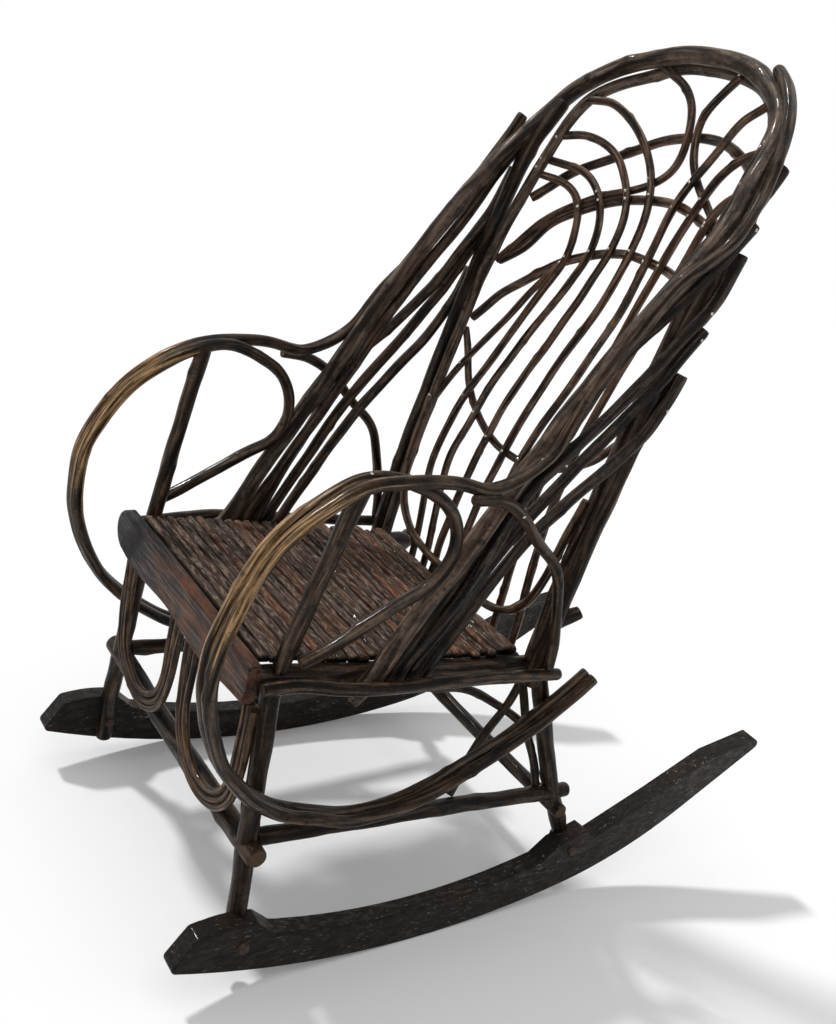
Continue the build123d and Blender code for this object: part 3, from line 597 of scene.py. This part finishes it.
slat_bark = slat_material()
places, corners = merged("seat_slats")
groups = solids_of(places, corners)
corner_sets = [places[np.unique(g)] for g in groups]
middles = np.array([(mine.min(0) + mine.max(0)) / 2 for mine in corner_sets])
tilt = math.atan(np.polyfit(middles[:, 1], middles[:, 2], 1)[0])
down = np.array([0, math.cos(tilt), math.sin(tilt)])
above = np.array([0, -math.sin(tilt), math.cos(tilt)])
slat_places, slat_own, slat_marks, slat_quads, slat_ends = [], [], [], [], []
first = 0
rng = np.random.default_rng(5)
for mine in corner_sets:
    deep, high = mine @ down, mine @ above
    low = np.array([mine[:, 0].min(), deep.min(), high.min()])
    top = np.array([mine[:, 0].max(), deep.max(), high.max()])
    x, y, z = slat_rows(low, top, rng)
    ahead, lifted = (low[1] + top[1]) / 2 + y, low[2] + z
    solid = x[:, None, None] * np.array([1, 0, 0]) + ahead[:, :, None] * down + lifted[:, :, None] * above
    index = first + np.arange(SLAT_ROWS * SLAT_COLUMNS).reshape(SLAT_ROWS, SLAT_COLUMNS)
    right = np.roll(index, -1, axis=1)
    slat_quads.append(np.stack([index[:-1], index[1:], right[1:], right[:-1]], 2).reshape(-1, 4))
    for ring, order in ((index[0], (0, 1, 2)), (index[-1], (0, 2, 1))):
        fan = np.stack([np.full(SLAT_COLUMNS - 2, ring[0]), ring[1:-1], ring[2:]], 1)
        slat_ends.append(fan[:, order])
    slat_places.append(solid.reshape(-1, 3))
    slat_own.append(np.stack([np.repeat(x[:, None], SLAT_COLUMNS, 1), y, z], 2).reshape(-1, 3))
    # Crown height round the profile: the material paints shade low on the sides and paler tops with it.
    crown = z / z.max(1)[:, None]
    marks = np.stack([crown, np.full_like(crown, rng.uniform(0, 9)), crown * 0], 2)
    slat_marks.append(marks.reshape(-1, 3))
    first += SLAT_ROWS * SLAT_COLUMNS
slat_vectors = {"bark": np.concatenate(slat_own), "stick": np.concatenate(slat_marks)}
new_piece(
    "seat_slats_bark", np.concatenate(slat_places), np.concatenate(slat_quads), np.concatenate(slat_ends),
    slat_vectors, slat_bark, ["seat_slats"],
)


def board_material():
    """Bark-faced board: charcoal at the sitter's right, browner to the left, long splits."""
    material, tree, surface = new_material("board_bark")
    place = node(tree, "ShaderNodeTexCoord", out=3)
    x = node(tree, "ShaderNodeSeparateXYZ", place)
    fibre = (place * (18.0, 400.0, 420.0)).noise(1.0, 5.0, 0.62)
    blotch = (place * (26.0, 60.0, 60.0)).noise(1.0, 4.0, 0.6)
    splits = (place * (10.0, 200.0, 210.0)).noise(1.0, 2.0).step(0.60, 0.68)
    brown = blend_colour(tree, blotch.step(0.35, 0.65), (0.018, 0.008, 0.005), (0.115, 0.046, 0.024))
    char = blend_colour(tree, blotch.step(0.35, 0.65), (0.008, 0.007, 0.007), (0.034, 0.031, 0.030))
    colour = blend_colour(tree, (x + blotch * 0.16).step(-0.06, 0.10), char, brown)
    colour = blend_colour(tree, fibre.step(0.56, 0.70) * 0.5, colour, (0.16, 0.11, 0.085))
    colour = blend_colour(tree, splits * 0.8, colour, (0.006, 0.005, 0.004))
    height = fibre - splits * 0.8 + blotch
    finish_surface(tree, surface, colour, blotch * 0.3 + 0.34, fibre.step(0.45, 0.6) * 0.3, height, 0.0024)
    return material


board_bark = board_material()
show_solid("front_board", board_bark)

# ---------------------------------------------------------------------------
# Apron: three nested loops on each side of the front, thinner sticks whose
# sawn tops show pale wood, nailed to the rail, the legs and the stretcher.

apron_bark = bark_material(
    "apron_bark", (0.010, 0.006, 0.004), (0.055, 0.028, 0.015), (0.24, 0.135, 0.065), pale_share=0.65,
)
for side in ("left", "right"):
    dress(f"apron_loops_{side}", apron_bark)

# ---------------------------------------------------------------------------
# Hoops: the thick outer hoop and the thinner one nailed inside it, grey-brown
# bark paler than the frame's, rising from the seat rails and over the head.

hoop_bark = bark_material(
    "hoop_bark", (0.018, 0.012, 0.009), (0.085, 0.055, 0.037), (0.27, 0.195, 0.14),
    pale_share=0.65, gloss=0.36, coat=0.25,
)
for name in ("outer_hoop", "inner_hoop"):
    dress(name, hoop_bark)

# ---------------------------------------------------------------------------
# Side fans: dark rods that spread from the seat rail up to the back posts, the
# left ones nearly black: a darker copy of the bark as painted shade.

fan_bark = {
    # Left fans: the same bark darkened, painted shade.
    "left": bark_material(
        "fan_bark_painted_shade", (0.004, 0.003, 0.002), (0.018, 0.011, 0.008), (0.13, 0.085, 0.058), gloss=0.26,
    ),
    "right": bark_material(
        "fan_bark", (0.007, 0.004, 0.003), (0.045, 0.024, 0.014), (0.18, 0.11, 0.07), gloss=0.28,
    ),
}
for side in ("left", "right"):
    for piece in ("fan_rod_front", "fan_rods"):
        dress(f"{piece}_{side}", fan_bark[side])

# ---------------------------------------------------------------------------
# Arms: pairs of rods swept from under the seat round the front to the armrest,
# their braces, posts and clamp rods. The fronts are rubbed through to tan.


def rubbed_front(surface):
    """High on the forward and upper faces of the front sweep."""
    forward = np.clip((-0.14 - surface[..., 1]) / 0.2, 0, 1)
    z = surface[..., 2]
    return forward * (np.clip((z - 0.34) / 0.16, 0, 1) * np.clip((0.76 - z) / 0.07, 0, 1))


arm_bark = bark_material(
    "arm_bark", (0.007, 0.0045, 0.003), (0.042, 0.023, 0.012), (0.18, 0.105, 0.056), gloss=0.28, coat=0.5,
)
for side in ("left", "right"):
    for piece in ("arm_outer_rod", "arm_scroll_rod", "arm_post", "arm_brace", "clamp_rod"):
        dress(f"{piece}_{side}", arm_bark, wear=rubbed_front if "rod" in piece else None)

# ---------------------------------------------------------------------------
# Back: arches, curled rods, uprights and the bottom loop, chestnut varnish with
# mottled bark, nailed where they cross.

back_bark = bark_material(
    "back_bark", (0.014, 0.008, 0.005), (0.090, 0.042, 0.022), (0.30, 0.19, 0.125),
    pale_share=0.6, gloss=0.30, coat=0.45,
)
for name in (
    "arch_hanging", "arch_lower", "arch_middle", "arch_upper", "curl_rod_far", "curl_rod_near", "back_branch",
    "bottom_loop", *(f"back_rod_{k}" for k in range(1, 8)),
):
    dress(name, back_bark, ridge=0.05, knot=0.22)

# ---------------------------------------------------------------------------
# Nail heads: small steel domes where sticks of the back, the arms and the fans
# cross, each on the outer face of the front stick.


def crossings(first_names, second_names, facing):
    """Where sticks of two groups touch: a point on the front stick's skin and its outward way."""
    found = []
    for a in first_names:
        for b in second_names:
            if a == b:
                continue
            for line_a, radius_a in lines[a]:
                for line_b, radius_b in lines[b]:
                    gap = np.linalg.norm(line_a[:, None] - line_b[None], axis=2)
                    i, j = np.unravel_index(gap.argmin(), gap.shape)
                    if gap[i, j] > radius_a[i] + radius_b[j] + 0.0018:
                        continue
                    way = (line_a[i] - line_b[j]) / gap[i, j]
                    turned_to = facing(line_a[i])
                    if way @ turned_to < 0:
                        way, spot, radius = -way, line_b[j], radius_b[j]
                    else:
                        spot, radius = line_a[i], radius_a[i]
                    way = way * 0.8 + turned_to * 0.2
                    way /= np.linalg.norm(way)
                    found.append((spot + way * radius, way))
    return found


NAIL_SIDES = 12
NAIL_RINGS = [(1.9, -1.4), (2.3, -0.2), (2.1, 0.55), (1.3, 1.0)]
NAIL_TOP = 0.0011


def nail_mesh(spots):
    """Domes made of circles with the radius and height over the skin, in mm, of NAIL_RINGS, with a
    corner in the middle at the foot and at the top."""
    around = np.linspace(0, 2 * np.pi, NAIL_SIDES, endpoint=False)
    foot = NAIL_RINGS[0][1] / 1000
    on_rings = len(NAIL_RINGS) * NAIL_SIDES
    places, quads, ends = [], [], []
    for number, (spot, way) in enumerate(spots):
        side = np.cross(way, (0.3, 0.5, 0.81))
        side /= np.linalg.norm(side)
        up = np.cross(way, side)
        circle = np.cos(around)[:, None] * side + np.sin(around)[:, None] * up
        for size, lift in NAIL_RINGS:
            places.append(spot + way * lift / 1000 + circle * size / 1000)
        places.append(np.array([spot + way * foot, spot + way * NAIL_TOP]))
        first = number * (on_rings + 2)
        index = first + np.arange(on_rings).reshape(-1, NAIL_SIDES)
        right = np.roll(index, -1, axis=1)
        quads.append(np.stack([index[:-1], right[:-1], right[1:], index[1:]], 2).reshape(-1, 4))
        ends.append(np.stack([np.full(NAIL_SIDES, first + on_rings), right[0], index[0]], 1))
        ends.append(np.stack([np.full(NAIL_SIDES, first + on_rings + 1), index[-1], right[-1]], 1))
    return np.concatenate(places), np.concatenate(quads), np.concatenate(ends)


def forward_way(spot):
    return np.array([0.0, -0.9, 0.3])


def outward_way(spot):
    return np.array([math.copysign(1.0, spot[0]), 0.0, 0.1])


arches = [name for name in lines if name.startswith(("arch_", "curl_"))]
rods = [name for name in lines if name.startswith("back_rod") or name in ("back_branch", "bottom_loop")]
spots = crossings(arches, rods, forward_way) + crossings(["inner_hoop"], arches + rods, forward_way)
for side in ("left", "right"):
    fans = [f"fan_rod_front_{side}", f"fan_rods_{side}"]
    spots += crossings([f"back_post_{side}", f"arm_brace_{side}"], fans, outward_way)
    spots += crossings([f"arm_post_{side}"], [f"arm_scroll_rod_{side}"], outward_way)
nail_places, nail_quads, nail_ends = nail_mesh(spots)
nail_steel, nail_tree, nail_surface = new_material("nail_steel")
nail_place = node(nail_tree, "ShaderNodeTexCoord", out=3)
nail_rust = nail_place.noise(700.0, 3.0).step(0.5, 0.62)
nail_colour = blend_colour(nail_tree, nail_rust, (0.55, 0.52, 0.48), (0.14, 0.08, 0.05))
finish_surface(nail_tree, nail_surface, nail_colour, nail_rust * 0.3 + 0.26, 0.0, nail_rust, 0.0001)
feed(nail_tree, nail_surface.inputs["Metallic"], nail_rust * -0.6 + 0.9)
new_piece(
    "nail_heads", nail_places, nail_quads, nail_ends, {"bark": nail_places}, nail_steel, [],
)

# ---------------------------------------------------------------------------
# Camera, light and the pale floor.

AZIMUTH, ELEVATION, ROLL = (math.radians(v) for v in (48.8430, 20.8631, 17.5277))
back_way = Vector((
    math.sin(AZIMUTH) * math.cos(ELEVATION), -math.cos(AZIMUTH) * math.cos(ELEVATION), math.sin(ELEVATION),
))
level = Vector((math.cos(AZIMUTH), math.sin(AZIMUTH), 0))
upright = back_way.cross(level)
right_way = level * math.cos(ROLL) + upright * math.sin(ROLL)
up_way = upright * math.cos(ROLL) - level * math.sin(ROLL)
lens = bpy.data.cameras.new("camera")
lens.lens = 38.5554
lens.sensor_width = 36
lens.clip_end = 50
camera = bpy.data.objects.new("camera", lens)
turned = Matrix((right_way, up_way, back_way)).transposed().to_4x4()
turned.translation = Vector((1.04386, -0.93691, 1.05702))
camera.matrix_world = turned
scene.collection.objects.link(camera)
scene.camera = camera



def straight_rays(tree):
    """1 for camera, glossy and transmission rays, 0 for the light that falls on the chair."""
    camera_ray, glossy_ray, transmission_ray = (node(tree, "ShaderNodeLightPath", out=k) for k in (0, 3, 6))
    return camera_ray.maths("ADD", glossy_ray + transmission_ray, clamp=True)


floor_mesh = bpy.data.meshes.new("floor")
floor_mesh.from_pydata([(-9, -9, 0), (9, -9, 0), (9, 9, 0), (-9, 9, 0)], [], [(0, 1, 2, 3)])
floor = bpy.data.objects.new("floor", floor_mesh)
scene.collection.objects.link(floor)
floor_paint, _, floor_surface = new_material("floor_paint")
floor_surface.inputs["Base Color"].default_value = (0.95, 0.95, 0.95, 1)
floor_surface.inputs["Roughness"].default_value = 0.9
floor_tree = floor_paint.node_tree
glow = straight_rays(floor_tree) * 0.10
feed(floor_tree, floor_surface.inputs["Emission Color"], blend_colour(floor_tree, glow, (0, 0, 0), (1, 1, 1)))
floor_surface.inputs["Emission Strength"].default_value = 1.0
floor_mesh.materials.append(floor_paint)

FILL = 0.27
world = bpy.data.worlds.new("studio")
world.use_nodes = True
sky = world.node_tree
feed(sky, sky.nodes["Background"].inputs[0], (1, 1, 1))
feed(sky, sky.nodes["Background"].inputs[1], straight_rays(sky) * (1.0 - FILL) + FILL)
scene.world = world


def sun(name, place, power, spread):
    """A distant light that shines from a place towards the origin."""
    light = bpy.data.lights.new(name, "SUN")
    light.energy = power
    light.angle = math.radians(spread)
    holder = bpy.data.objects.new(name, light)
    holder.rotation_mode = "QUATERNION"
    holder.rotation_quaternion = (-Vector(place)).to_track_quat("-Z", "Y")
    scene.collection.objects.link(holder)


sun("key_light", (-1.6, -0.8, 2.2), 1.75, 5)
sun("soft_light", (0.1, -0.3, 1.0), 0.9, 70)
scene.view_settings.view_transform = "Standard"
